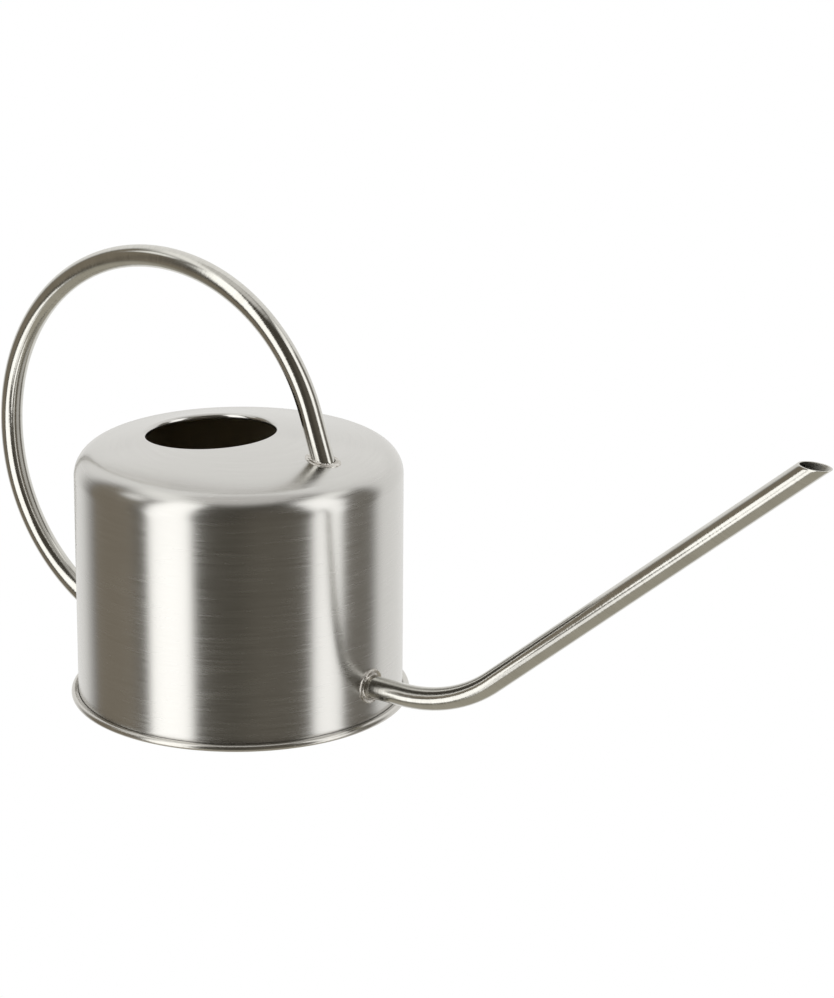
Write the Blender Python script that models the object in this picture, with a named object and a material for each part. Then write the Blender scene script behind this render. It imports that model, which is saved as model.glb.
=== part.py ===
"""Stainless steel watering can: a drawn tank with a rolled-on base, a long bent
tube spout and a round tube handle.

Metres, +Z up. The can stands on Z = 0 with its spout along +X.
Each piece is modelled about the tank's axis or its own foot, and hangs from one
empty on the tank's axis, which centres the whole can on the origin.
"""

from math import atan2, cos, pi, radians, sin, sqrt, tan

import bmesh
import bpy
from mathutils import Vector

# Driving dimensions, in metres ------------------------------------------------

# Tank
BODY_RADIUS = 0.0700          # outside of the straight wall
BODY_HEIGHT = 0.1165          # middle of the domed top, above the floor
SHOULDER_RADIUS = 0.0110      # round edge between wall and top
CROWN_RADIUS = 0.2750         # sphere of the domed top
SHEET = 0.0006                # tank and base sheet

# Filler hole
FILLER_SETBACK = 0.0150       # hole's centre behind the tank's axis
FILLER_RADIUS = 0.0277
LIP_RADIUS = 0.0016           # bend of the lip that turns down into the hole
LIP_DEPTH = 0.0022            # lip's edge below the top

# Rolled seam and base
SEAM_REACH = 0.0030           # how far the seam stands out of the wall
SEAM_BEND = 0.0006            # inside bend of the tank's flange and of the base
SEALANT = 0.0003              # thickness of the sealing ring in the fold
BASE_RECESS = 0.0030          # underside of the base disc, above the floor

# Spout
SPOUT_RADIUS = 0.0049         # outside
SPOUT_WALL = 0.0006
SPOUT_HEIGHT = 0.0178         # axis of the level stub, above the floor
SPOUT_STUB = 0.0166           # level run from the wall to the bend
SPOUT_INSERT = 0.0015         # run of tube inside the tank
SPOUT_BEND = 0.0717           # bend radius of the axis
SPOUT_RISE = radians(39.5)    # slope of the long run
SPOUT_RUN = 0.1897            # long straight run, to the middle of the mouth
MOUTH_TILT = radians(2.8)     # mouth's cut falls forward by this much

# Handle
HANDLE_RADIUS = 0.00478       # outside of the tube
HANDLE_WALL = 0.0008
HANDLE_FOOT = 0.0448          # front foot, ahead of the tank's axis
HANDLE_LEAN = radians(18.6)   # front foot leans back from the vertical
HANDLE_FOOT_RUN = 0.0200      # straight run above the front foot
HANDLE_FRONT_BEND = 0.0800
HANDLE_FRONT_TURN = radians(57.3)
HANDLE_CROWN_BEND = 0.0892
HANDLE_CROWN_TURN = radians(114.6)
HANDLE_REAR_HEIGHT = 0.0177   # axis where it meets the back wall, above the floor

# Weld beads
SPOUT_BEAD_WIDTH = 0.0024
SPOUT_BEAD_HEIGHT = 0.0016
HANDLE_BEAD_WIDTH = 0.0021
HANDLE_BEAD_HEIGHT = 0.0014

# Clearance between pieces that touch on the real can
GAP = 0.0003

# Fineness of the round shapes
BODY_SIDES = 60
TUBE_SIDES = 14
BEAD_SIDES = 20
BEAD_STEPS = 4
FOOT_TRIES = 3                # rounds to settle a weld's foot on the sloping top
BEND_STEPS = 3                # small sheet bends
SHOULDER_STEPS = 5
CROWN_STEPS = 3
SWEEP_STEP = radians(9)       # turn between two rings of a bent tube

# Seam levels, from the floor up: base, sealant, flange, rolled edge
SEALANT_LOW = SHEET + GAP
FLANGE_LOW = SEALANT_LOW + SEALANT + GAP
FLANGE_HIGH = FLANGE_LOW + SHEET
SEAM_HEIGHT = FLANGE_HIGH + GAP + SHEET
CURL_RADIUS = SEAM_HEIGHT / 2
CURL_CENTRE = BODY_RADIUS + SEAM_REACH - CURL_RADIUS

CROWN_CENTRE = BODY_HEIGHT - CROWN_RADIUS


# Outlines ---------------------------------------------------------------------

def arc(centre, radius, start, end, steps):
    """Points of an arc in the (radius, height) plane, both ends included."""
    turns = [start + (end - start) * i / steps for i in range(steps + 1)]
    return [(centre[0] + radius * cos(a), centre[1] + radius * sin(a)) for a in turns]


def crown_height(x, y):
    """Height of the domed top over a point of the plan."""
    return CROWN_CENTRE + sqrt(CROWN_RADIUS ** 2 - x * x - y * y)


def circle(radius, height):
    """A level ring round the tank's axis."""
    turns = [2 * pi * i / BODY_SIDES for i in range(BODY_SIDES)]
    return [Vector((radius * cos(a), radius * sin(a), height)) for a in turns]


# Meshes -----------------------------------------------------------------------

def skin(rings, closed=False, pole=None):
    """A mesh of quads between rings of equal length, in order.

    closed joins the last ring to the first; pole is a point that closes the
    middle of the first ring.
    """
    mesh = bmesh.new()
    loops = [[mesh.verts.new(point) for point in ring] for ring in rings]
    sides = len(loops[0])
    pairs = list(zip(loops, loops[1:]))
    if closed:
        pairs.append((loops[-1], loops[0]))
    for low, high in pairs:
        for i in range(sides):
            j = (i + 1) % sides
            mesh.faces.new((low[i], low[j], high[j], high[i]))
    if pole is not None:
        tip = mesh.verts.new(pole)
        for i in range(sides):
            mesh.faces.new((tip, loops[0][(i + 1) % sides], loops[0][i]))
    return mesh


def material(name, colour, roughness, metallic):
    """A plain Principled material."""
    finish = bpy.data.materials.new(name)
    finish.use_nodes = True
    shader = finish.node_tree.nodes["Principled BSDF"]
    shader.inputs["Base Color"].default_value = (*colour, 1.0)
    shader.inputs["Roughness"].default_value = roughness
    shader.inputs["Metallic"].default_value = metallic
    return finish


def place(name, mesh, finish, location=(0, 0, 0)):
    """Turn a mesh into a named object at its foot, hung from the tank's axis."""
    data = bpy.data.meshes.new(name)
    foot = Vector(location)
    bmesh.ops.translate(mesh, verts=mesh.verts, vec=-foot)
    bmesh.ops.recalc_face_normals(mesh, faces=mesh.faces)
    mesh.to_mesh(data)
    mesh.free()
    data.shade_smooth()
    data.set_sharp_from_angle(angle=radians(35))
    data.materials.append(finish)
    piece = bpy.data.objects.new(name, data)
    bpy.context.scene.collection.objects.link(piece)
    piece.parent = tank_axis
    piece.location = foot
    return piece


def thicken(piece):
    """Give a skin its sheet thickness, on the side away from its outer face."""
    wall = piece.modifiers.new("sheet", "SOLIDIFY")
    wall.thickness = SHEET
    wall.offset = -1
    wall.use_even_offset = True


def drill(piece, name, radius, start, end):
    """Cut a round hole along X between two places on the spout's level."""
    bpy.ops.mesh.primitive_cylinder_add(vertices=2 * TUBE_SIDES, radius=radius, depth=end - start)
    cutter = bpy.context.active_object
    cutter.name = name
    cutter.parent = tank_axis
    cutter.rotation_euler = (0, pi / 2, 0)
    cutter.location = ((start + end) / 2, 0, SPOUT_HEIGHT)
    cutter.hide_render = True
    cutter.display_type = "WIRE"
    cut = piece.modifiers.new(name, "BOOLEAN")
    cut.operation = "DIFFERENCE"
    cut.object = cutter


# Tank and base ----------------------------------------------------------------

def filler_rings():
    """Rings of the lip, from its cut edge up to where it leaves the top."""
    rings = []
    bends = arc((LIP_RADIUS, -LIP_RADIUS), LIP_RADIUS, pi, pi / 2, BEND_STEPS)
    for spread, height in [(0.0, -LIP_DEPTH)] + bends:
        ring = []
        for edge in circle(1.0, 0.0):
            rim = (FILLER_RADIUS + LIP_RADIUS) * edge - Vector((FILLER_SETBACK, 0, 0))
            point = (FILLER_RADIUS + spread) * edge - Vector((FILLER_SETBACK, 0, 0))
            point.z = crown_height(rim.x, rim.y) + height
            ring.append(point)
        rings.append(ring)
    return rings


def crown_rings(outer_radius):
    """Rings of the top, from the off-centre hole out to the shoulder."""
    rings = []
    inner_radius = FILLER_RADIUS + LIP_RADIUS
    for step in range(1, CROWN_STEPS):
        share = step / CROWN_STEPS
        radius = inner_radius + (outer_radius - inner_radius) * share
        ring = circle(radius, 0.0)
        for point in ring:
            point.x -= FILLER_SETBACK * (1 - share)
            point.z = crown_height(point.x, point.y)
        rings.append(ring)
    return rings


def body_shell(finish):
    """The drawn tank: lip, top, shoulder, wall and out-turned flange."""
    inset = BODY_RADIUS - SHOULDER_RADIUS
    rise = sqrt((CROWN_RADIUS - SHOULDER_RADIUS) ** 2 - inset ** 2)
    shoulder = arc((inset, CROWN_CENTRE + rise), SHOULDER_RADIUS, atan2(rise, inset), 0, SHOULDER_STEPS)
    corner = (BODY_RADIUS + SEAM_BEND, FLANGE_HIGH + SEAM_BEND)
    flange = arc(corner, SEAM_BEND, pi, 3 * pi / 2, BEND_STEPS)
    outline = shoulder + flange + [(CURL_CENTRE, FLANGE_HIGH)]
    rings = filler_rings() + crown_rings(shoulder[0][0])
    rings += [circle(radius, height) for radius, height in outline]
    piece = place("body_shell", skin(rings), finish)
    thicken(piece)
    inside = BODY_RADIUS - SHEET - SPOUT_INSERT
    drill(piece, "spout_hole", SPOUT_RADIUS + GAP, inside, BODY_RADIUS + SPOUT_INSERT)


def base_plate(finish):
    """The pressed base: recessed disc, floor ring and the rolled edge."""
    chuck = BODY_RADIUS - 2 * SHEET - GAP
    turn = SEAM_BEND + SHEET
    outline = arc((chuck - SEAM_BEND, BASE_RECESS - SEAM_BEND), SEAM_BEND, pi / 2, 0, BEND_STEPS)
    outline += arc((chuck + turn, turn), turn, pi, 3 * pi / 2, BEND_STEPS)
    outline += arc((CURL_CENTRE, CURL_RADIUS), CURL_RADIUS, -pi / 2, pi / 2, 2 * BEND_STEPS)
    outline.append((BODY_RADIUS + SEAM_BEND, SEAM_HEIGHT))
    rings = [circle(radius, height) for radius, height in outline]
    piece = place("base_plate", skin(rings, pole=(0, 0, BASE_RECESS)), finish)
    thicken(piece)


def seam_sealant(finish):
    """The flat sealing ring under the flange, inside the fold."""
    inner = BODY_RADIUS + GAP
    outer = CURL_CENTRE - GAP
    high = SEALANT_LOW + SEALANT
    corners = [(inner, SEALANT_LOW), (outer, SEALANT_LOW), (outer, high), (inner, high)]
    place("seam_sealant", skin([circle(*corner) for corner in corners], closed=True), finish)


# Tubes ------------------------------------------------------------------------

def bend(path, radius, turn):
    """Carry a path of (point, heading) pairs round an upward bend, in the XZ plane."""
    (start, heading) = path[-1]
    centre = start + radius * Vector((-sin(heading), 0, cos(heading)))
    steps = round(turn / SWEEP_STEP)
    for step in range(1, steps + 1):
        along = heading + turn * step / steps
        path.append((centre + radius * Vector((sin(along), 0, -cos(along))), along))


def run(path, length):
    """Carry a path straight on."""
    (start, heading) = path[-1]
    path.append((start + length * Vector((cos(heading), 0, sin(heading))), heading))


def spout_path():
    """The spout's axis, from its end inside the tank to the middle of the mouth."""
    inside = BODY_RADIUS - SHEET - SPOUT_INSERT
    path = [(Vector((inside, 0, SPOUT_HEIGHT)), 0.0)]
    run(path, BODY_RADIUS + SPOUT_STUB - inside)
    bend(path, SPOUT_BEND, SPOUT_RISE)
    run(path, SPOUT_RUN)
    return path


def handle_path():
    """The handle's axis, from the front foot on the top to the back wall."""
    foot = Vector((HANDLE_FOOT, 0, crown_height(HANDLE_FOOT, 0)))
    path = [(foot, pi / 2 + HANDLE_LEAN)]
    run(path, HANDLE_FOOT_RUN)
    bend(path, HANDLE_FRONT_BEND, HANDLE_FRONT_TURN)
    bend(path, HANDLE_CROWN_BEND, HANDLE_CROWN_TURN)
    # The last bend is the one arc that carries on smoothly and lands on the wall
    (start, heading) = path[-1]
    chord = Vector((-BODY_RADIUS, 0, HANDLE_REAR_HEIGHT)) - start
    turn = 2 * ((atan2(chord.z, chord.x) - heading) % (2 * pi))
    bend(path, chord.length / (2 * sin(turn / 2)), turn)
    return path


def on_plane(point, normal):
    """A cope onto a plane through a point."""
    return lambda base, way: (point - base).dot(normal) / way.dot(normal)


def on_crown(base, way):
    """A cope onto the domed top, a clearance above it."""
    arm = base - Vector((0, 0, CROWN_CENTRE))
    half = arm.dot(way)
    return -half + sqrt(half ** 2 - arm.dot(arm) + (CROWN_RADIUS + GAP) ** 2)


def on_back_wall(base, way):
    """A cope onto the back of the tank's wall, a clearance outside it."""
    return (-sqrt((BODY_RADIUS + GAP) ** 2 - base.y ** 2) - base.x) / way.x


def sweep(path, radius, first_cope, last_cope):
    """Rings of a tube along a path; the two end rings slide onto what they meet."""
    turns = [2 * pi * i / TUBE_SIDES for i in range(TUBE_SIDES)]
    side = Vector((0, 1, 0))
    rings = []
    for point, heading in path:
        across = Vector((-sin(heading), 0, cos(heading)))
        rings.append([point + radius * (cos(a) * across + sin(a) * side) for a in turns])
    ends = ((rings[0], path[0], first_cope), (rings[-1], path[-1], last_cope))
    for ring, (_, heading), cope in ends:
        way = Vector((cos(heading), 0, sin(heading)))
        ring[:] = [point + cope(point, way) * way for point in ring]
    return rings


def tube(name, path, radius, wall, copes, finish):
    """A hollow tube with open ends."""
    outside = sweep(path, radius, *copes)
    inside = sweep(path, radius - wall, *copes)
    return place(name, skin(outside + inside[::-1], closed=True), finish, location=path[0][0])


def spout_tube(finish):
    """The spout: square end inside the tank, mouth cut almost level."""
    path = spout_path()
    (root, mouth) = (path[0][0], path[-1][0])
    cut = Vector((sin(MOUTH_TILT), 0, cos(MOUTH_TILT)))
    copes = (on_plane(root, Vector((1, 0, 0))), on_plane(mouth, cut))
    return tube("spout_tube", path, SPOUT_RADIUS, SPOUT_WALL, copes, finish)


def handle_tube(finish):
    """The handle, coped onto the top and the back wall."""
    copes = (on_crown, on_back_wall)
    return tube("handle_tube", handle_path(), HANDLE_RADIUS, HANDLE_WALL, copes, finish)


# Welds ------------------------------------------------------------------------

def wall_foot(side, height, heading):
    """Places round a tube's foot on the wall; side is 1 in front and -1 behind."""
    def spot(along, across, rise):
        x = side * (sqrt((BODY_RADIUS + GAP) ** 2 - across ** 2) + rise)
        z = height + along / abs(cos(heading)) + (x - side * BODY_RADIUS) * tan(heading)
        return Vector((x, across, z))
    return spot


def crown_foot(start, heading):
    """Places round a tube's foot on the domed top."""
    def spot(along, across, rise):
        z = start.z
        for _ in range(FOOT_TRIES):
            x = start.x + along / sin(heading) + (z - start.z) / tan(heading)
            z = crown_height(x, across) + GAP + rise
        return Vector((x, across, z))
    return spot


def bead(name, spot, tube_radius, width, height, finish):
    """A fillet of weld metal round a tube's foot.

    spot(along, across, rise) is the place that lies along and across the can
    from the tube's axis, and above the sheet.
    """
    inner = tube_radius + GAP
    swing = [pi / 2 * i / BEAD_STEPS for i in range(BEAD_STEPS + 1)]
    fillet = [(inner, 0.0)] + [(inner + width * sin(a), height * cos(a)) for a in swing]
    rings = []
    for side in range(BEAD_SIDES):
        turn = 2 * pi * side / BEAD_SIDES
        rings.append([spot(radius * cos(turn), radius * sin(turn), rise) for radius, rise in fillet])
    place(name, skin(rings, closed=True), finish, location=spot(0, 0, 0))


def welds(finish):
    """The three beads: spout on the wall, handle on the top and on the back wall."""
    spot = wall_foot(1, SPOUT_HEIGHT, 0.0)
    bead("spout_weld", spot, SPOUT_RADIUS, SPOUT_BEAD_WIDTH, SPOUT_BEAD_HEIGHT, finish)
    path = handle_path()
    (landing, heading) = path[-1]
    feet = {
        "handle_front_weld": crown_foot(*path[0]),
        "handle_rear_weld": wall_foot(-1, landing.z, heading),
    }
    for name, spot in feet.items():
        bead(name, spot, HANDLE_RADIUS, HANDLE_BEAD_WIDTH, HANDLE_BEAD_HEIGHT, finish)


# The can ----------------------------------------------------------------------

for old in list(bpy.data.objects):
    bpy.data.objects.remove(old, do_unlink=True)

tank_axis = bpy.data.objects.new("tank_axis", None)
bpy.context.scene.collection.objects.link(tank_axis)

steel = material("brushed_steel", (0.60, 0.58, 0.55), 0.30, 1.0)
tube_steel = material("satin_tube_steel", (0.60, 0.58, 0.54), 0.25, 1.0)
weld_steel = material("weld_steel", (0.52, 0.50, 0.47), 0.40, 1.0)
seal = material("seam_seal", (0.08, 0.08, 0.08), 0.70, 0.0)

body_shell(steel)
base_plate(steel)
seam_sealant(seal)
spout = spout_tube(tube_steel)
handle = handle_tube(tube_steel)
welds(weld_steel)

# Centre the can on the origin: the handle reaches furthest back, the mouth furthest forward
reach = [piece.location.x + point.co.x for piece in (spout, handle) for point in piece.data.vertices]
tank_axis.location.x = -(min(reach) + max(reach)) / 2
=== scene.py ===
"""Looks of the stainless steel watering can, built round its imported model.

Metres, +Z up. The can stands on Z = 0 with its spout along +X. Each section below
makes one piece, in the order in which the can is put together.
"""

from math import atan2, cos, pi, radians, sin, sqrt

import bmesh
import bpy
from mathutils import Matrix, Vector


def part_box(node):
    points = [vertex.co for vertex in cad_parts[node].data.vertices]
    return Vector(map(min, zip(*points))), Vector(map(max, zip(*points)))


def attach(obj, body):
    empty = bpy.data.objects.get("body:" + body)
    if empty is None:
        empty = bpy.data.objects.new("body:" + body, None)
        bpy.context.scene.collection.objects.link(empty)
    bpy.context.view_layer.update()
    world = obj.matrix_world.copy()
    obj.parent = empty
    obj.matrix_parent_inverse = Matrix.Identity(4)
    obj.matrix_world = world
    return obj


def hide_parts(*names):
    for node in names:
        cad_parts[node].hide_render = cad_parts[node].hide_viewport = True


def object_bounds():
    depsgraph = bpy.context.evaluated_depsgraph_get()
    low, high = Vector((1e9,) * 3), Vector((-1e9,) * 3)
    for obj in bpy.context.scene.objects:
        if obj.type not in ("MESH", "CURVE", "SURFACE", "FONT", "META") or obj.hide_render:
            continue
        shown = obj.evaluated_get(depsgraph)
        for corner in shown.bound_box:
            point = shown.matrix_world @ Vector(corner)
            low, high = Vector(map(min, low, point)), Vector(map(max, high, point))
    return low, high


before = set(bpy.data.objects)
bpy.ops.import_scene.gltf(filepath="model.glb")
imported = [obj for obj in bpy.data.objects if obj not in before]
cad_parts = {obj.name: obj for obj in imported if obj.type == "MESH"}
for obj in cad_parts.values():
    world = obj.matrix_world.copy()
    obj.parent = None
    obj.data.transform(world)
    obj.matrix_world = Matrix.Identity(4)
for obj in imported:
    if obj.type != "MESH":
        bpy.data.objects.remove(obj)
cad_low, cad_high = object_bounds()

# Tank --------------------------------------------------------------------------
# A deep-drawn cup of thin stainless sheet, upside down: domed top with an off-centre
# filler hole whose lip turns down, round shoulder, straight wall and, at the foot, a
# flange that the base is rolled over. Brushed round its axis after drawing.

SHEET = 0.0006
BODY_RADIUS = 0.0700
BODY_HEIGHT = 0.1165
SHOULDER_RADIUS = 0.0110
CROWN_RADIUS = 0.2750
FILLER_SETBACK = 0.0150
FILLER_RADIUS = 0.0277
LIP_RADIUS = 0.0016
LIP_DEPTH = 0.0022
FLANGE_LOW = 0.0015
FLANGE_BEND = 0.0006
CUT_ROUNDING = 0.00012
CUT_STEPS = 3
TANK_SIDES = 256
LIP_STEPS = 10
CROWN_STEPS = 26
SHOULDER_STEPS = 18
WALL_STEPS = 46
FLANGE_STEPS = 6
MERGE_REACH = 0.000002
CREASE = radians(32)

shell_low, shell_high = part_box("body_shell")
TANK_AXIS = Vector(((shell_low.x + shell_high.x) / 2, 0, 0))
FLANGE_EDGE = (shell_high.x - shell_low.x) / 2
INSET = BODY_RADIUS - SHOULDER_RADIUS
CROWN_CENTRE = BODY_HEIGHT - CROWN_RADIUS
SHOULDER_RISE = sqrt((CROWN_RADIUS - SHOULDER_RADIUS) ** 2 - INSET ** 2)
SHOULDER_CENTRE = (INSET, CROWN_CENTRE + SHOULDER_RISE)
SHOULDER_TURN = atan2(SHOULDER_RISE, INSET)
SPOUT_LEVEL = 0.0178
SPOUT_RADIUS = 0.0049
HOLE_TIGHT = 0.00005   # the hole's radius is this much under the tube's
HOLE_SIDES = 96

scene = bpy.context.scene


class Wire:
    """One output of a node. Sums written on it add their Math nodes to its tree."""

    def __init__(self, socket):
        self.socket = socket

    @staticmethod
    def make(tree, kind, settings=None, feeds=None, out=0):
        """Any other node: its type, its settings, which are set first, and what feeds its sockets."""
        node = tree.nodes.new(kind)
        for name, value in (settings or {}).items():
            setattr(node, name, value)
        for name, value in (feeds or {}).items():
            if isinstance(value, Wire):
                tree.links.new(value.socket, node.inputs[name])
            else:
                node.inputs[name].default_value = value
        return Wire(node.outputs[out])

    def of(self, kind, settings=None, feeds=None, out=0):
        """A node of any kind in this wire's tree."""
        return Wire.make(self.socket.id_data, kind, settings, feeds, out)

    def also(self, out):
        """Another output of the same node."""
        return Wire(self.socket.node.outputs[out])

    def maths(self, operation, *others):
        """Maths on this value and any others that it takes."""
        return self.of("ShaderNodeMath", {"operation": operation}, dict(enumerate((self, *others))))

    def vector(self, operation, other):
        """Vector Math with another vector."""
        return self.of("ShaderNodeVectorMath", {"operation": operation}, {0: self, 1: other})

    def scaled(self, amount):
        """A vector made longer or shorter."""
        return self.of("ShaderNodeVectorMath", {"operation": "SCALE"}, {0: self, "Scale": amount})

    def parts(self):
        """The X, Y and Z of a vector."""
        split = self.of("ShaderNodeSeparateXYZ", None, {0: self})
        return split, split.also(1), split.also(2)

    def join(self, x, y, z):
        """A vector from three values."""
        return self.of("ShaderNodeCombineXYZ", None, {0: x, 1: y, 2: z})

    def ramp(self, low, high, start=0.0, end=1.0, shape="SMOOTHSTEP"):
        """Runs from start to end while the value goes from low to high."""
        feeds = {"Value": self, "From Min": low, "From Max": high, "To Min": start, "To Max": end}
        return self.of("ShaderNodeMapRange", {"interpolation_type": shape}, feeds)

    def mix(self, first, second):
        """A colour between two, with this value as the share of the second."""
        return self.of("ShaderNodeMix", {"data_type": "RGBA"}, {0: self, 6: first, 7: second}, 2)

    def __add__(self, other):
        return self.maths("ADD", other)

    __radd__ = __add__

    def __sub__(self, other):
        return self.maths("SUBTRACT", other)

    def __rsub__(self, other):
        return self.of("ShaderNodeMath", {"operation": "SUBTRACT"}, {0: other, 1: self})

    def __mul__(self, other):
        return self.maths("MULTIPLY", other)

    __rmul__ = __mul__

    def __truediv__(self, other):
        return self.maths("DIVIDE", other)

    def __pow__(self, other):
        return self.maths("POWER", other)


def geometry_tree(name, **inputs):
    """A Geometry Nodes tree with a geometry input and named ones, given as wires by name."""
    tree = bpy.data.node_groups.new(name, "GeometryNodeTree")
    tree.interface.new_socket("Geometry", in_out="INPUT", socket_type="NodeSocketGeometry")
    for label, kind in inputs.items():
        tree.interface.new_socket(label, in_out="INPUT", socket_type="NodeSocket" + kind)
    tree.interface.new_socket("Geometry", in_out="OUTPUT", socket_type="NodeSocketGeometry")
    entry = tree.nodes.new("NodeGroupInput")
    return tree, {socket.name: Wire(socket) for socket in entry.outputs if socket.name}


def wrapped_grid(given):
    """A grid with a row for each guide point and a column for each side of the round.

    Gives the grid, each corner's turn round the axis, the guide point of its row, and a
    function for any other value that the guide holds.
    """
    guide = given["Geometry"]
    count = guide.of("GeometryNodeAttributeDomainSize", None, {"Geometry": guide})
    sizes = {"Size X": 1.0, "Size Y": 1.0, "Vertices X": given["Sides"] + 1, "Vertices Y": count}
    grid = count.of("GeometryNodeMeshGrid", None, sizes)
    place = count.of("GeometryNodeInputPosition")
    across, up, _ = place.parts()
    turn = (across + 0.5) * (2 * pi)
    row = ((up + 0.5) * (count - 1)).maths("ROUND")

    def of_row(kind, value):
        feeds = {"Geometry": guide, "Value": value, "Index": row}
        return count.of("GeometryNodeSampleIndex", {"data_type": kind}, feeds)

    def held(label):
        named = count.of("GeometryNodeInputNamedAttribute", {"data_type": "FLOAT"}, {"Name": label})
        return of_row("FLOAT", named)

    return grid, turn, of_row("FLOAT_VECTOR", place), held


def marked(shape, label, kind, value):
    """Keep a value on the mesh for its finish to read."""
    feeds = {"Geometry": shape, "Name": label, "Value": value}
    return shape.of("GeometryNodeStoreNamedAttribute", {"data_type": kind}, feeds)


def end_tree(shape, point, finish):
    """Close a tree: its points moved to their places, merged, realized and with its finish."""
    moved = shape.of("GeometryNodeSetPosition", None, {"Geometry": shape, "Position": point})
    feeds = {"Geometry": moved, "Distance": MERGE_REACH}
    merged = shape.of("GeometryNodeMergeByDistance", None, feeds)
    real = shape.of("GeometryNodeRealizeInstances", None, {"Geometry": merged})
    done = shape.of("GeometryNodeSetMaterial", None, {"Geometry": real, "Material": finish})
    tree = shape.socket.id_data
    tree.links.new(done.socket, tree.nodes.new("NodeGroupOutput").inputs[0])


def outline(points, **attributes):
    """A guide mesh that only holds points in order, with an attribute value for each."""
    mesh = bpy.data.meshes.new("outline")
    mesh.from_pydata(points, [(i, i + 1) for i in range(len(points) - 1)], [])
    for name, values in attributes.items():
        mesh.attributes.new(name, "FLOAT", "POINT").data.foreach_set("value", values)
    return mesh


def shaped(name, guide, tree, **values):
    """Work a tree out on a guide mesh and keep what it makes as a plain object at the origin."""
    maker = bpy.data.objects.new(name + "_guide", guide)
    scene.collection.objects.link(maker)
    modifier = maker.modifiers.new("shape", "NODES")
    modifier.node_group = tree
    for item in tree.interface.items_tree:
        if item.in_out == "INPUT" and item.name in values:
            modifier[item.identifier] = values[item.name]
    graph = bpy.context.evaluated_depsgraph_get()
    mesh = bpy.data.meshes.new_from_object(maker.evaluated_get(graph))
    mesh.name = name
    bpy.data.objects.remove(maker)
    piece = bpy.data.objects.new(name, mesh)
    scene.collection.objects.link(piece)
    facing_out(mesh)
    return piece


def facing_out(mesh):
    """Turn a closed mesh's faces outwards and shade it smooth up to its creases."""
    work = bmesh.new()
    work.from_mesh(mesh)
    bmesh.ops.recalc_face_normals(work, faces=work.faces)
    work.to_mesh(mesh)
    work.free()
    mesh.shade_smooth()
    mesh.set_sharp_from_angle(angle=CREASE)


def arc(centre, radius, start, end, steps):
    """Points of an arc in the (radius, height) plane, both ends included."""
    turns = [start + (end - start) * i / steps for i in range(steps + 1)]
    return [(centre[0] + radius * cos(a), centre[1] + radius * sin(a)) for a in turns]


def turned_sheet_tree(finish):
    """Turns a sheet's section round the tank's axis.

    The guide's points are (radius, 0, height). Rings with a setback have their centre
    behind the axis, and rings with a rim take their height from the dome over that radius.
    A guide that holds neither gives plain rings.
    """
    tree, given = geometry_tree(
        "turned_sheet", Sides="Int", Axis="Vector", DomeRadius="Float", DomeCentre="Float")
    grid, turn, point, held = wrapped_grid(given)
    radius, _, height = point.parts()
    setback = held("setback")
    rim = held("rim")
    across = turn.maths("COSINE")
    ahead = turn.maths("SINE")
    rim_x = rim * across - setback
    rim_y = rim * ahead
    under = given["DomeRadius"] ** 2 - rim_x * rim_x - rim_y * rim_y
    dome = given["DomeCentre"] + under.maths("SQRT")
    on_dome = rim.maths("GREATER_THAN", 0.0)
    place = turn.join(radius * across - setback, radius * ahead, height + dome * on_dome)
    sheet = marked(grid, "inside", "FLOAT", held("inside"))
    end_tree(sheet, place.vector("ADD", given["Axis"]), finish)
    return tree


def tank_outline():
    """Section of the tank's sheet, round its outer face and back along its inner face.

    A row holds radius, height, setback, rim and whether it is on the inner face.
    """
    rows = []
    rim = FILLER_RADIUS + LIP_RADIUS
    for inside in (0.0, 1.0):
        depth = inside * SHEET
        side = []
        for spread, height in arc((0, 0), CUT_ROUNDING, 3 * pi / 2, pi, CUT_STEPS):
            turned = (SHEET - spread - 2 * CUT_ROUNDING) if inside else spread
            side.append((FILLER_RADIUS + CUT_ROUNDING + turned, CUT_ROUNDING + height - LIP_DEPTH))
        for spread, height in arc((LIP_RADIUS, -LIP_RADIUS), LIP_RADIUS - depth, pi, pi / 2, LIP_STEPS):
            side.append((FILLER_RADIUS + spread, height))
        lip = [(radius, height, FILLER_SETBACK, rim, inside) for radius, height in side]
        for step in range(1, CROWN_STEPS):
            share = step / CROWN_STEPS
            radius = rim + (INSET - rim) * share
            lip.append((radius, -depth, FILLER_SETBACK * (1 - share), radius, inside))
        plain = arc(SHOULDER_CENTRE, SHOULDER_RADIUS - depth, SHOULDER_TURN, 0, SHOULDER_STEPS)
        corner = (BODY_RADIUS + FLANGE_BEND, FLANGE_LOW + SHEET + FLANGE_BEND)
        foot = arc(corner, FLANGE_BEND + depth, pi, 3 * pi / 2, FLANGE_STEPS)
        (wall, high), (_, low) = plain[-1], foot[0]
        plain += [(wall, high + (low - high) * i / WALL_STEPS) for i in range(1, WALL_STEPS)]
        plain += foot + [(FLANGE_EDGE, foot[-1][1])]
        face = lip + [(radius, height, 0.0, 0.0, inside) for radius, height in plain]
        rows += face[::-1] if inside else face
    return rows + rows[:1]


def brush_lines(tree, centre, length, width):
    """Hairlines left by brushing round an axis, and the place measured from its foot."""
    seen = Wire.make(tree, "ShaderNodeTexCoord", None, None, "Object")
    local = seen.of("ShaderNodeMapping", None, {"Vector": seen, "Location": -centre})
    x, y, z = local.parts()
    climb = z - (x * x + y * y).maths("SQRT")
    lines = []
    for fine in (1.0, 3.1):
        stretched = x.join(x / length, y / length, climb * (fine / width))
        noise = {"Vector": stretched, "Scale": 1.0, "Detail": 3.0, "Roughness": 0.6}
        lines.append(x.of("ShaderNodeTexNoise", None, noise))
    return lines[0] * 0.55 + lines[1] * 0.45, local


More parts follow.
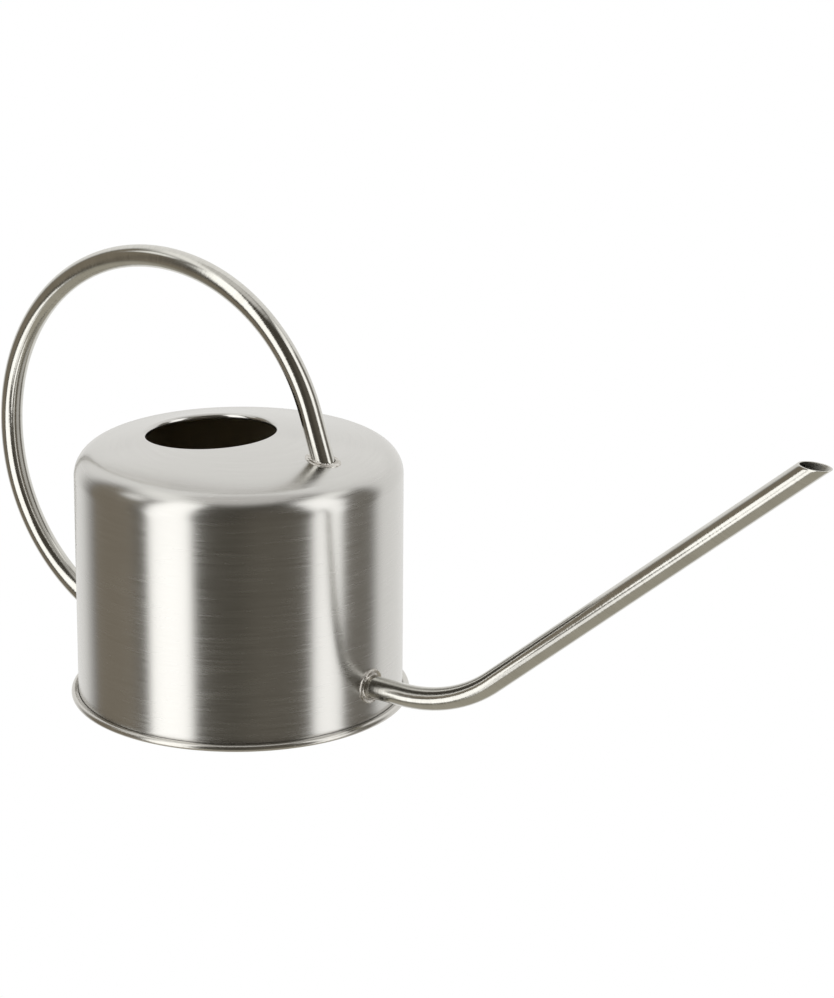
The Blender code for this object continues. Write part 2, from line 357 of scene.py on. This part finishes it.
def principled(name, metallic, **constants):
    """A material and its Principled shader, with what is the same all over set on the sockets."""
    finish = bpy.data.materials.new(name)
    finish.use_nodes = True
    shader = finish.node_tree.nodes["Principled BSDF"]
    shader.inputs["Metallic"].default_value = metallic
    for label, value in constants.items():
        shader.inputs[label.replace("_", " ")].default_value = value
    return finish, finish.node_tree, shader


def finished(shader, colour, rough, normal):
    """Put what varies over a piece, its colour, roughness and normal, on its shader."""
    for label, value in (("Base Color", colour), ("Roughness", rough), ("Normal", normal)):
        shader.id_data.links.new(value.socket, shader.inputs[label])


def brushed_tank_steel():
    """Round-brushed sheet: hairlines, slow cloudiness, a finer top, and an unbrushed, rougher inside
    whose colour is painted darker and browner as painted shade.
    """
    finish, tree, shader = principled(
        "brushed_tank_steel", 1.0, Anisotropic=0.65, Anisotropic_Rotation=0.25)
    lines, local = brush_lines(tree, TANK_AXIS, length=0.022, width=0.0011)
    cloud = lines.of("ShaderNodeTexNoise", None, {"Vector": local, "Scale": 28.0, "Detail": 2.0})
    inside = lines.of("ShaderNodeAttribute", {"attribute_name": "inside"}, None, "Fac")
    tone = 0.94 + (lines - 0.5) * 0.26 + (cloud - 0.5) * 0.05
    bright = tone.ramp(0.80, 1.08, 0.0, 1.0, "LINEAR")
    brushed = bright.mix((0.55, 0.54, 0.522, 1.0), (0.68, 0.675, 0.66, 1.0))
    # The inner face is painted a darker, browner steel: painted shade for the dim inside of the tank
    steel = inside.mix(brushed, (0.46, 0.40, 0.29, 1.0))
    _, _, level = local.parts()
    top = level.ramp(BODY_HEIGHT - 0.8 * SHOULDER_RADIUS, BODY_HEIGHT - 0.3 * SHOULDER_RADIUS)
    rough = 0.250 + (lines - 0.5) * 0.20 + (cloud - 0.5) * 0.04 + inside * 0.25 - top * 0.095
    bump = lines.of("ShaderNodeBump", None, {"Height": lines, "Strength": 0.07, "Distance": 0.00003})
    finished(shader, steel, rough, bump)
    return finish


def pierced(piece, centre, radius, depth):
    """Punch a round hole along X through the sheet at a place."""
    punch = bpy.data.meshes.new("punch")
    work = bmesh.new()
    place = Matrix.Translation(centre) @ Matrix.Rotation(pi / 2, 4, "Y")
    bmesh.ops.create_cone(
        work, cap_ends=True, segments=HOLE_SIDES, radius1=radius, radius2=radius, depth=depth,
        matrix=place)
    work.to_mesh(punch)
    work.free()
    tool = bpy.data.objects.new("punch", punch)
    scene.collection.objects.link(tool)
    modifier = piece.modifiers.new("hole", "BOOLEAN")
    modifier.solver = "EXACT"
    modifier.operation = "DIFFERENCE"
    modifier.object = tool
    graph = bpy.context.evaluated_depsgraph_get()
    mesh = bpy.data.meshes.new_from_object(piece.evaluated_get(graph))
    piece.modifiers.clear()
    piece.data = mesh
    mesh.name = piece.name
    bpy.data.objects.remove(tool)
    facing_out(mesh)


tank_tree = turned_sheet_tree(brushed_tank_steel())
section = tank_outline()
guide = outline(
    [(radius, 0, height) for radius, height, *_ in section],
    setback=[row[2] for row in section],
    rim=[row[3] for row in section],
    inside=[row[4] for row in section],
)
turning = {"Axis": TANK_AXIS, "DomeRadius": CROWN_RADIUS, "DomeCentre": CROWN_CENTRE}
tank = shaped("tank", guide, tank_tree, Sides=TANK_SIDES, **turning)
spout_hole = TANK_AXIS + Vector((BODY_RADIUS, 0, SPOUT_LEVEL))
pierced(tank, spout_hole, SPOUT_RADIUS - HOLE_TIGHT, 4 * SPOUT_RADIUS)
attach(tank, "root")
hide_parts("body_shell")

# Base --------------------------------------------------------------------------
# A pressed disc of the same sheet, set a little up off the floor. Its edge is rolled
# round the tank's flange by a seaming wheel, which leaves the roll smoother than the wall.

SEAM_RADIUS = 0.0015
BASE_RECESS = 0.0030
FOLD_GAP = 0.0003
BASE_WALL = BODY_RADIUS - 2 * SHEET - FOLD_GAP
ROLL_TILT = radians(9)
ROLL_STEPS = 20
BEND_STEPS = 6
DISC_STEPS = 12

base_low, base_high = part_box("base_plate")
ROLL_CENTRE = (base_high.x - base_low.x) / 2 - SEAM_RADIUS


def base_outline():
    """Section of the base, from its middle under the disc, round the roll, and back above."""
    rows = []
    turn = FLANGE_BEND + SHEET
    for inside in (0.0, 1.0):
        depth = inside * SHEET
        level = BASE_RECESS + depth
        face = [(BASE_WALL * i / DISC_STEPS, level) for i in range(DISC_STEPS)]
        centre = (BASE_WALL - FLANGE_BEND, BASE_RECESS - FLANGE_BEND)
        face += arc(centre, FLANGE_BEND + depth, pi / 2, 0, BEND_STEPS)
        face += arc((BASE_WALL + turn, turn), turn - depth, pi, 3 * pi / 2, BEND_STEPS)
        roll = SEAM_RADIUS - depth
        face += arc((ROLL_CENTRE, SEAM_RADIUS), roll, -pi / 2, pi / 2 + ROLL_TILT, ROLL_STEPS)
        tip_run = ROLL_CENTRE - BODY_RADIUS - FLANGE_BEND
        (radius, height) = face[-1]
        face.append((radius - tip_run * cos(ROLL_TILT), height - tip_run * sin(ROLL_TILT)))
        rows += face[::-1] if inside else face
    return rows + rows[:1]


def rolled_base_steel():
    """The base and its roll: burnished by the wheel, with short marks along the roll."""
    finish, tree, shader = principled(
        "rolled_base_steel", 1.0, Anisotropic=0.6, Anisotropic_Rotation=0.25)
    lines, local = brush_lines(tree, TANK_AXIS, length=0.009, width=0.0009)
    rub = lines.of("ShaderNodeTexNoise", None, {"Vector": local, "Scale": 120.0, "Detail": 4.0})
    steel = (lines * 0.6 + rub * 0.4).mix((0.52, 0.50, 0.47, 1.0), (0.70, 0.69, 0.66, 1.0))
    rough = 0.24 + (lines - 0.5) * 0.14 + (rub - 0.5) * 0.12
    marks = {"Height": lines + rub, "Strength": 0.3, "Distance": 0.00006}
    finished(shader, steel, rough, lines.of("ShaderNodeBump", None, marks))
    return finish


section = base_outline()
guide = outline([(radius, 0, height) for radius, height in section])
base_tree = turned_sheet_tree(rolled_base_steel())
base = shaped("base", guide, base_tree, Sides=TANK_SIDES, **turning)
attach(base, "root")
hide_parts("base_plate")

# Sealing ring ------------------------------------------------------------------
# A thin ring of black sealing compound in the fold between the tank's flange and the
# base, squeezed flat when the seam is rolled.

seal_low, seal_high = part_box("seam_sealant")
SEAL_OUTER = (seal_high.x - seal_low.x) / 2
SEAL_INNER = BODY_RADIUS + FOLD_GAP
SEAL_STEPS = 6


def sealing_compound():
    """Matt black compound with a pitted skin."""
    finish, tree, shader = principled("sealing_compound", 0.0)
    seen = Wire.make(tree, "ShaderNodeTexCoord", None, None, "Object")
    pits = seen.of("ShaderNodeTexNoise", None, {"Vector": seen, "Scale": 900.0, "Detail": 4.0})
    black = pits.mix((0.010, 0.010, 0.011, 1.0), (0.035, 0.034, 0.033, 1.0))
    bump = pits.of("ShaderNodeBump", None, {"Height": pits, "Strength": 0.4, "Distance": 0.00005})
    finished(shader, black, 0.6 + pits * 0.3, bump)
    return finish


middle = (seal_low.z + seal_high.z) / 2
half = (seal_high.z - seal_low.z) / 2
section = arc((SEAL_OUTER - half, middle), half, -pi / 2, pi / 2, SEAL_STEPS)
section += arc((SEAL_INNER + half, middle), half, pi / 2, 3 * pi / 2, SEAL_STEPS)
guide = outline([(radius, 0, height) for radius, height in section + section[:1]])
seal_tree = turned_sheet_tree(sealing_compound())
seal = shaped("sealing_ring", guide, seal_tree, Sides=TANK_SIDES, **turning)
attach(seal, "root")
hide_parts("seam_sealant")

# Spout -------------------------------------------------------------------------
# One length of thin-walled stainless tube, bent once near its root and sawn almost level
# at the mouth. It goes through a hole in the wall and is welded there all round.

SPOUT_WALL = 0.0006
SPOUT_STUB = 0.0166
SPOUT_INSERT = 0.0015
SPOUT_BEND = 0.0717
SPOUT_RISE = radians(39.5)
SPOUT_RUN = 0.1897
MOUTH_TILT = radians(2.8)
TUBE_SIDES = 56
RING_STEP = 0.0013
SAWN_ROUNDING = 0.00014
COPE_REACH = 0.013
COPE_SEARCH = 0.020
COPE_GAP = 0.0001
ARC_STEP = radians(1.5)
RING_TILT = 0.09


def run_on(path, length):
    """Carry an axis straight on; a path holds (place, heading) pairs in the XZ plane."""
    (start, heading) = path[-1]
    path.append((start + length * Vector((cos(heading), 0, sin(heading))), heading))


def bend_up(path, radius, turn):
    """Carry an axis round an upward bend."""
    (start, heading) = path[-1]
    centre = start + radius * Vector((-sin(heading), 0, cos(heading)))
    steps = round(turn / ARC_STEP)
    for step in range(1, steps + 1):
        along = heading + turn * step / steps
        path.append((centre + radius * Vector((sin(along), 0, -cos(along))), along))


def axis_curve(name, path):
    """The axis as a curve object, and its length."""
    curve = bpy.data.curves.new(name, "CURVE")
    curve.dimensions = "3D"
    spline = curve.splines.new("POLY")
    spline.points.add(len(path) - 1)
    for point, (place, _) in zip(spline.points, path):
        point.co = (*place, 1.0)
    line = bpy.data.objects.new(name, curve)
    scene.collection.objects.link(line)
    return line, sum((b[0] - a[0]).length for a, b in zip(path, path[1:]))


def along_axis(axis, mode, at):
    """Place, heading and upward side of an axis at a length or a share of its run."""
    feeds = {"Curves": axis, mode.title(): at}
    place = axis.of("GeometryNodeSampleCurve", {"mode": mode}, feeds, "Position")
    heading = place.also("Tangent")
    return place, heading, heading.vector("CROSS_PRODUCT", (0, 1, 0))


def round_axis(place, above, ring, turn):
    """The place at a distance and a turn round an axis."""
    up = above.scaled(ring * turn.maths("COSINE"))
    side = turn.join(0.0, ring * turn.maths("SINE"), 0.0)
    return place.vector("ADD", up).vector("ADD", side)


def shape_of(thing):
    """The geometry of an object that a tree is given."""
    return thing.of("GeometryNodeObjectInfo", None, {"Object": thing}, "Geometry")


def met(target, start, outward, search, out):
    """What a line from a start, along a way, meets of a target: its place, or if it meets it."""
    feeds = {"Target Geometry": target, "Source Position": start, "Ray Direction": outward,
             "Ray Length": search * 2}
    return start.of("GeometryNodeRaycast", None, feeds, out)


def bent_tube_tree(finish):
    """Carries the section of a tube's wall along its axis and copes both ends.

    The guide's points are (length along the axis, 0, distance from it). An end slides
    along the axis until it meets the object given for it, if there is one.
    """
    tree, given = geometry_tree(
        "bent_tube", Sides="Int", Axis="Object", FirstMeets="Object", LastMeets="Object",
        Length="Float", Reach="Float", Search="Float", Clearance="Float")
    grid, turn, point, held = wrapped_grid(given)
    length, _, ring = point.parts()
    axis = shape_of(given["Axis"])
    here, heading, above = along_axis(axis, "LENGTH", length)
    grid = marked(grid, "bore", "FLOAT", held("bore"))
    grid = marked(grid, "axial", "FLOAT_VECTOR", heading)
    grid = marked(grid, "along", "FLOAT", length)
    place = round_axis(here, above, ring, turn)
    ends = (
        (0.0, -1.0, length, "FirstMeets"),
        (1.0, 1.0, given["Length"] - length, "LastMeets"),
    )
    for share, out, far, meets in ends:
        end, way, above = along_axis(axis, "FACTOR", share)
        outward = way.scaled(out)
        start = round_axis(end, above, ring, turn).vector("SUBTRACT", outward.scaled(given["Search"]))
        hit = met(shape_of(given[meets]), start, outward, given["Search"], "Is Hit")
        slide = (hit.also("Hit Distance") - given["Search"] - given["Clearance"]) * hit
        fade = far.ramp(0.0, given["Reach"], 1.0, 0.0, "LINEAR")
        place = place.vector("ADD", heading.scaled(slide * fade * out))
    end_tree(grid, place, finish)
    return tree


def tube_section(length, radius, wall):
    """Section of a tube's wall: out along the outside, back through the bore, sawn ends eased."""
    ease = SAWN_ROUNDING
    outer, inner = radius - ease, radius - wall + ease
    steps = round(length / RING_STEP)
    stations = [length * i / steps for i in range(1, steps)]
    rows = [(at, radius) for at in stations]
    rows += [(length - ease + x, outer + r) for x, r in arc((0, 0), ease, pi / 2, 0, CUT_STEPS)]
    rows += [(length - ease + x, inner + r) for x, r in arc((0, 0), ease, 0, -pi / 2, CUT_STEPS)]
    rows += [(at, radius - wall) for at in stations[::-1]]
    rows += [(ease + x, inner + r) for x, r in arc((0, 0), ease, -pi / 2, -pi, CUT_STEPS)]
    rows += [(ease + x, outer + r) for x, r in arc((0, 0), ease, pi, pi / 2, CUT_STEPS)]
    rows += rows[:1]
    bore = [float(distance <= inner) for _, distance in rows]
    return outline([(at, 0, distance) for at, distance in rows], bore=bore)


def satin_tube_steel():
    """Tube polished with a belt while it turns: satin, with faint rings round it."""
    finish, tree, shader = principled("satin_tube_steel", 1.0)
    seen = Wire.make(tree, "ShaderNodeTexCoord", None, None, "Object")
    along = seen.of("ShaderNodeAttribute", {"attribute_name": "along"}, None, "Fac")
    axial = seen.of("ShaderNodeAttribute", {"attribute_name": "axial"}, None, "Vector")
    bore = seen.of("ShaderNodeAttribute", {"attribute_name": "bore"}, None, "Fac")
    facing = seen.of("ShaderNodeNewGeometry", None, None, "Normal")
    x, y, z = seen.parts()
    place = seen.join(along / 0.00045, y / 0.0040, (x + z) / 0.0300)
    rings = seen.of("ShaderNodeTexNoise", None, {"Vector": place, "Scale": 1.0, "Detail": 2.0})
    cloud = seen.of("ShaderNodeTexNoise", None, {"Vector": seen, "Scale": 110.0, "Detail": 3.0})
    tone = (rings * 0.5 + cloud * 0.5).ramp(0.3, 0.7, 0.0, 1.0, "LINEAR")
    steel = tone.mix((0.56, 0.55, 0.515, 1.0), (0.68, 0.67, 0.635, 1.0))
    rough = 0.145 + (rings - 0.5) * 0.06 + (cloud - 0.5) * 0.06 + bore * 0.3
    tilted = facing.vector("ADD", axial.scaled((rings - 0.5) * RING_TILT * (1.0 - bore)))
    ground = tilted.of("ShaderNodeVectorMath", {"operation": "NORMALIZE"}, {0: tilted})
    finished(shader, steel, rough, ground)
    return finish


tube_tree = bent_tube_tree(satin_tube_steel())
root = BODY_RADIUS - SHEET - SPOUT_INSERT
spout_path = [(TANK_AXIS + Vector((root, 0, SPOUT_LEVEL)), 0.0)]
run_on(spout_path, BODY_RADIUS + SPOUT_STUB - root)
bend_up(spout_path, SPOUT_BEND, SPOUT_RISE)
run_on(spout_path, SPOUT_RUN)
spout_axis, spout_length = axis_curve("spout_axis", spout_path)

# The saw's plane across the mouth, only a guide
mouth = spout_path[-1][0]
forward = 4 * SPOUT_RADIUS * Vector((cos(MOUTH_TILT), 0, -sin(MOUTH_TILT)))
sideways = 4 * SPOUT_RADIUS * Vector((0, 1, 0))
corners = [mouth + forward * x + sideways * y for x, y in ((-1, -1), (1, -1), (1, 1), (-1, 1))]
cut = bpy.data.meshes.new("mouth_cut")
cut.from_pydata(corners, [], [(0, 1, 2, 3)])
mouth_cut = bpy.data.objects.new("mouth_cut", cut)
scene.collection.objects.link(mouth_cut)

coping = {"Sides": TUBE_SIDES, "Reach": COPE_REACH, "Search": COPE_SEARCH}
guide = tube_section(spout_length, SPOUT_RADIUS, SPOUT_WALL)
spout = shaped("spout", guide, tube_tree, Axis=spout_axis, LastMeets=mouth_cut,
               Length=spout_length, Clearance=0.0, **coping)
bpy.data.objects.remove(mouth_cut)
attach(spout, "root")
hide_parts("spout_tube")

# Spout weld --------------------------------------------------------------------
# A run of weld round the spout's root: a raised ring on the wall, a shallow valley, and
# a thin fillet up onto the tube, with small ripples where the torch moved on.

BEAD_SIDES = 180
BEAD_STEPS = 5
BEAD_SOLE_STEPS = 6
SPOUT_BEAD = (
    (0.00488, 0.00070), (0.00515, 0.00040), (0.00560, 0.00024), (0.00610, 0.00022),
    (0.00650, 0.00060), (0.00695, 0.00098), (0.00732, 0.00070), (0.00756, 0.0),
)


def bead_tree(finish):
    """Lays a bead's section round a tube's foot, on the sheet that the tube meets.

    The guide's points are (distance from the tube's axis, 0, rise off the sheet).
    """
    tree, given = geometry_tree(
        "weld_bead", Sides="Int", Axis="Object", Sheet="Object", End="Float", Outward="Float",
        Search="Float", Ripples="Float", Ripple="Float", Lump="Float", Seed="Float")
    grid, turn, point, _ = wrapped_grid(given)
    ring, _, rise = point.parts()
    circle = turn.join(turn.maths("COSINE"), turn.maths("SINE"), given["Seed"])
    feeds = {"Vector": circle, "Scale": 2.2, "Detail": 3.0, "Roughness": 0.65}
    lumps = turn.of("ShaderNodeTexNoise", None, feeds) - 0.5
    wave = (turn * given["Ripples"] + lumps * 6.0).maths("SINE")
    height = rise * (wave * given["Ripple"] + 1.0 + lumps * given["Lump"])
    end, way, above = along_axis(shape_of(given["Axis"]), "FACTOR", given["End"])
    outward = way.scaled(given["Outward"])
    start = round_axis(end, above, ring, turn).vector("SUBTRACT", outward.scaled(given["Search"]))
    hit = met(shape_of(given["Sheet"]), start, outward, given["Search"], "Hit Position")
    end_tree(grid, hit.vector("ADD", hit.also("Hit Normal").scaled(height)), finish)
    return tree


def weld_metal():
    """Bare weld metal: random patches of brighter metal and dull scale, a little straw tint."""
    finish, tree, shader = principled("weld_metal", 1.0)
    seen = Wire.make(tree, "ShaderNodeTexCoord", None, None, "Object")
    scale = seen.of("ShaderNodeTexNoise", None, {"Vector": seen, "Scale": 700.0, "Detail": 5.0})
    patch = seen.of("ShaderNodeTexNoise", None, {"Vector": seen, "Scale": 160.0, "Detail": 2.0})
    clean = (scale * 0.6 + patch * 0.4).ramp(0.35, 0.65)
    steel = clean.mix((0.48, 0.45, 0.41, 1.0), (0.68, 0.66, 0.63, 1.0))
    bump = scale.of("ShaderNodeBump", None, {"Height": scale, "Strength": 0.35, "Distance": 0.00006})
    finished(shader, steel, 0.34 - clean * 0.14, bump)
    return finish


def smooth_line(knots):
    """Points of a smooth curve through a few knots, never under the sheet."""
    points = []
    last = len(knots) - 1
    for i in range(last):
        near = [Vector(knots[max(0, min(k, last))]) for k in range(i - 1, i + 3)]
        before, start, end, after = near
        for step in range(BEAD_STEPS):
            share = step / BEAD_STEPS
            point = 0.5 * (2 * start + (end - before) * share
                           + (2 * before - 5 * start + 4 * end - after) * share ** 2
                           + (3 * start - before - 3 * end + after) * share ** 3)
            points.append((point.x, max(point.y, 0.0)))
    return points + [knots[-1]]


def bead_section(knots):
    """A bead's outline: back over the bead through its knots, then under it along the sheet."""
    inner, outer = knots[0][0], knots[-1][0]
    rows = [(inner, 0.0)] + smooth_line(knots)
    for i in range(1, BEAD_SOLE_STEPS + 1):
        rows.append((outer - (outer - inner) * i / BEAD_SOLE_STEPS, 0.0))
    return outline([(at, 0, rise) for at, rise in rows])


weld_tree = bead_tree(weld_metal())
laying = {"Sides": BEAD_SIDES, "Sheet": tank, "Search": COPE_SEARCH}
# The spout's foot is where its axis passes the wall, so its bead starts from a short axis there
foot_path = [(spout_hole, 0.0)]
run_on(foot_path, SPOUT_STUB)
foot_axis, _ = axis_curve("spout_foot_axis", foot_path)
guide = bead_section(SPOUT_BEAD)
spout_weld = shaped("spout_weld_ring", guide, weld_tree, Axis=foot_axis, End=0.0, Outward=-1.0,
                    Ripples=26.0, Ripple=0.04, Lump=0.55, Seed=3.0, **laying)
bpy.data.objects.remove(foot_axis)
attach(spout_weld, "root")
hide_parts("spout_weld")

# Handle ------------------------------------------------------------------------
# One length of stainless tube, stouter in the wall than the spout's, bent into a big loop:
# it rises ahead of the filler hole, sweeps over and behind the can, and lands low on the
# back of the wall. Both ends are coped to fit the sheet.

HANDLE_RADIUS = 0.00478
HANDLE_WALL = 0.0008
HANDLE_FOOT = 0.0448
HANDLE_LEAN = radians(18.6)
HANDLE_FOOT_RUN = 0.0200
HANDLE_FRONT = (0.0800, radians(57.3))    # radius and turn of a bend
HANDLE_CROWN = (0.0892, radians(114.6))
HANDLE_REAR_LEVEL = 0.0177

foot_height = CROWN_CENTRE + sqrt(CROWN_RADIUS ** 2 - HANDLE_FOOT ** 2)
handle_path = [(TANK_AXIS + Vector((HANDLE_FOOT, 0, foot_height)), pi / 2 + HANDLE_LEAN)]
run_on(handle_path, HANDLE_FOOT_RUN)
bend_up(handle_path, *HANDLE_FRONT)
bend_up(handle_path, *HANDLE_CROWN)
# The last bend is the one arc that carries on smoothly and lands on the back of the wall
(start, heading) = handle_path[-1]
chord = TANK_AXIS + Vector((-BODY_RADIUS, 0, HANDLE_REAR_LEVEL)) - start
turn = 2 * ((atan2(chord.z, chord.x) - heading) % (2 * pi))
bend_up(handle_path, chord.length / (2 * sin(turn / 2)), turn)
handle_axis, handle_length = axis_curve("handle_axis", handle_path)

guide = tube_section(handle_length, HANDLE_RADIUS, HANDLE_WALL)
handle = shaped("handle", guide, tube_tree, Axis=handle_axis, FirstMeets=tank, LastMeets=tank,
                Length=handle_length, Clearance=COPE_GAP, **coping)
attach(handle, "root")
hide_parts("handle_tube")

# Handle welds ------------------------------------------------------------------
# A thin, slightly lumpy fillet of weld round each foot of the handle: one on the top, ahead
# of the filler hole, and one low on the back of the wall.

HANDLE_BEAD = (
    (0.00474, 0.00080), (0.00505, 0.00048), (0.00555, 0.00034), (0.00615, 0.00044),
    (0.00665, 0.00036), (0.00705, 0.0),
)
# Each weld's name and node, its end of the handle's axis and the way out of it, and a seed
HANDLE_FEET = (
    ("handle_front_weld_ring", "handle_front_weld", 0.0, -1.0, 11.0),
    ("handle_rear_weld_ring", "handle_rear_weld", 1.0, 1.0, 17.0),
)

guide = bead_section(HANDLE_BEAD)
for name, node, end, outward, seed in HANDLE_FEET:
    weld = shaped(name, guide, weld_tree, Axis=handle_axis, End=end, Outward=outward,
                  Ripples=22.0, Ripple=0.08, Lump=0.9, Seed=seed, **laying)
    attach(weld, "root")
    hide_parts(node)
bpy.data.objects.remove(handle_axis)
bpy.data.objects.remove(spout_axis)

# Studio ------------------------------------------------------------------------
# A plain near-white floor, and what the steel shows: a ring of soft panels, which are two
# bright strips, a wide pale backdrop and unlit room between them, and, close to the can,
# a few small lit cards for the tubes.

CAMERA_SIDE = radians(35.7025)
FLOOR_REACH = 14.0
FLOOR_SIDES = 64
FLOOR_DROP = 0.0002


def glowing(name, colour, strength):
    """A flat light: a surface that only gives light."""
    finish = bpy.data.materials.new(name)
    finish.use_nodes = True
    tree = finish.node_tree
    tree.nodes.remove(tree.nodes["Principled BSDF"])
    glow = Wire.make(tree, "ShaderNodeEmission", None, {"Color": colour, "Strength": strength})
    tree.links.new(glow.socket, tree.nodes["Material Output"].inputs["Surface"])
    return finish


def flat_face(name, corners, finish):
    """One flat face with its finish, as an object."""
    mesh = bpy.data.meshes.new(name)
    mesh.from_pydata(corners, [], [tuple(range(len(corners)))])
    mesh.materials.append(finish)
    face = bpy.data.objects.new(name, mesh)
    scene.collection.objects.link(face)
    face.visible_shadow = False
    return face


def plain_floor():
    """A pale floor that the steel doesn't mirror, because its panels reach below the floor."""
    turns = [2 * pi * i / FLOOR_SIDES for i in range(FLOOR_SIDES)]
    rim = [FLOOR_REACH * Vector((cos(a), sin(a), 0)) for a in turns]
    floor = flat_face("floor", rim, glowing("pale_floor", (1.0, 1.0, 1.0, 1.0), 1.0))
    floor.location.z = cad_low.z - FLOOR_DROP
    floor.visible_glossy = False
    floor.visible_diffuse = False
    floor.visible_transmission = False
    return floor


# Panels: middle, half width and soft edge round the can, in degrees from the camera's
# side; lowest and highest elevation and their soft edge; colour and strength
PANELS = (
    ((-47.0, 16.5, 3.5), (-40, 62, 6), (1.00, 1.00, 0.985), 1.62),     # left strip
    ((-51.0, 15.0, 5.0), (20, 62, 6), (1.00, 1.00, 0.985), 1.30),      # its upper part
    ((-88.0, 11.0, 5.0), (30, 44, 4), (1.00, 1.00, 0.98), 1.15),       # small lamp, left
    ((-95.0, 52.0, 14.0), (47, 74, 10), (1.00, 1.00, 0.98), 1.10),     # top panel, left
    ((67.0, 12.5, 3.5), (-48, 52, 8), (1.00, 1.00, 0.99), 1.42),       # right strip
    ((68.0, 16.0, 5.0), (14, 54, 7), (1.00, 1.00, 0.99), 1.50),        # its wider upper part
    ((88.0, 24.0, 9.0), (38, 58, 6), (1.00, 1.00, 0.98), 1.20),        # top panel, right
    ((155.0, 43.0, 9.0), (-58, 66, 10), (1.00, 1.00, 0.99), 0.86),     # backdrop, right
    ((-158.0, 32.0, 16.0), (-58, 66, 10), (1.00, 1.00, 0.99), 0.86),   # backdrop, left
    ((180.0, 55.0, 12.0), (12, 72, 9), (1.00, 1.00, 0.99), 0.92),      # backdrop, upper part
    ((-104.0, 30.0, 8.0), (-60, 50, 10), (1.00, 0.86, 0.66), 0.17),    # unlit wall, left
    ((98.0, 22.0, 8.0), (-60, 36, 10), (1.00, 0.94, 0.84), 0.12),      # unlit wall, right
    ((34.0, 26.0, 12.0), (-60, 40, 10), (1.00, 0.90, 0.75), 0.05),     # dim corner, right
    ((0.0, 180.0, 0.0), (66, 100, 10), (1.00, 0.99, 0.97), 0.66),      # ceiling
    ((0.0, 180.0, 0.0), (-100, -38, 16), (1.00, 0.95, 0.80), 0.37),    # table
)
# The unlit room's own light, added all round
ROOM = (0.070, 0.063, 0.050)
# Cards: side in degrees and distance, both from the tank's axis; half width; lowest and
# highest place; strength
CARDS = (
    (-8.8, 0.420, 0.098, -0.050, 0.150, 1.66),
    (-8.8, 0.420, 0.098, -0.270, -0.128, 1.25),
    (-1.5, 0.160, 0.033, -0.090, 0.022, 1.66),
)
CARD_COLOUR = (1.0, 0.995, 0.975, 1.0)
WORLD_MAP = 1024


def studio_surround():
    """The world: unlit room with soft panels, placed by direction."""
    world = bpy.data.worlds.new("studio_surround")
    world.use_nodes = True
    tree = world.node_tree
    ground = tree.nodes["Background"]
    seen = Wire.make(tree, "ShaderNodeTexCoord", None, None, "Generated")
    x, y, z = seen.parts()
    side = x.maths("ARCTAN2", y * -1.0) - CAMERA_SIDE
    rise = z.maths("ARCSINE")
    light = seen.join(0.0, 0.0, 0.0)
    for (middle, half, soft), (low, high, fade), colour, strength in PANELS:
        mask = rise.ramp(radians(low - fade), radians(low + fade))
        mask = mask * rise.ramp(radians(high - fade), radians(high + fade), 1.0, 0.0)
        if half < 180:
            off = (side - radians(middle)).maths("WRAP", pi, -pi).maths("ABSOLUTE")
            mask = mask * off.ramp(radians(half - soft), radians(half + soft), 1.0, 0.0)
        panel = seen.join(*(strength * part for part in colour)).scaled(mask)
        light = light.vector("MAXIMUM", panel)
    light = light.vector("ADD", ROOM)
    tree.links.new(light.socket, ground.inputs["Color"])
    ground.inputs["Strength"].default_value = 1.0
    world.cycles.sampling_method = "MANUAL"
    world.cycles.sample_map_resolution = WORLD_MAP
    scene.world = world


def near_card(side, away, half, low, high, strength):
    """A small lit card near the can, in front of it, which only reflections show."""
    side = radians(side)
    middle = TANK_AXIS + away * Vector((sin(side), -cos(side), 0))
    level = half * Vector((cos(side), sin(side), 0))
    places = ((-1, low), (1, low), (1, high), (-1, high))
    corners = [middle + level * x + Vector((0, 0, z)) for x, z in places]
    card = flat_face("near_card", corners, glowing("lit_card", CARD_COLOUR, strength))
    card.visible_camera = False
    return card


plain_floor()
for card in CARDS:
    near_card(*card)
studio_surround()
scene.view_settings.view_transform = "Standard"

# Camera ------------------------------------------------------------------------
# A long lens in front of the can, on its spout side, looking down on the top. It rolls by
# a fraction of a degree.

LENS = 132.63367
SENSOR = 36.0
EYE = Vector((0.930035, -1.164407, 0.574623))
LOOK_DOWN = radians(18.1234)
ROLL = radians(0.4081)

lens = bpy.data.cameras.new("camera")
lens.sensor_width = SENSOR
lens.lens = LENS
lens.clip_start = 0.05
lens.clip_end = 60.0
camera = bpy.data.objects.new("camera", lens)
scene.collection.objects.link(camera)
turned = Matrix.Rotation(CAMERA_SIDE, 4, "Z") @ Matrix.Rotation(pi / 2 - LOOK_DOWN, 4, "X")
turned = turned @ Matrix.Rotation(ROLL, 4, "Z")
camera.matrix_world = Matrix.Translation(EYE + TANK_AXIS) @ turned
scene.camera = camera
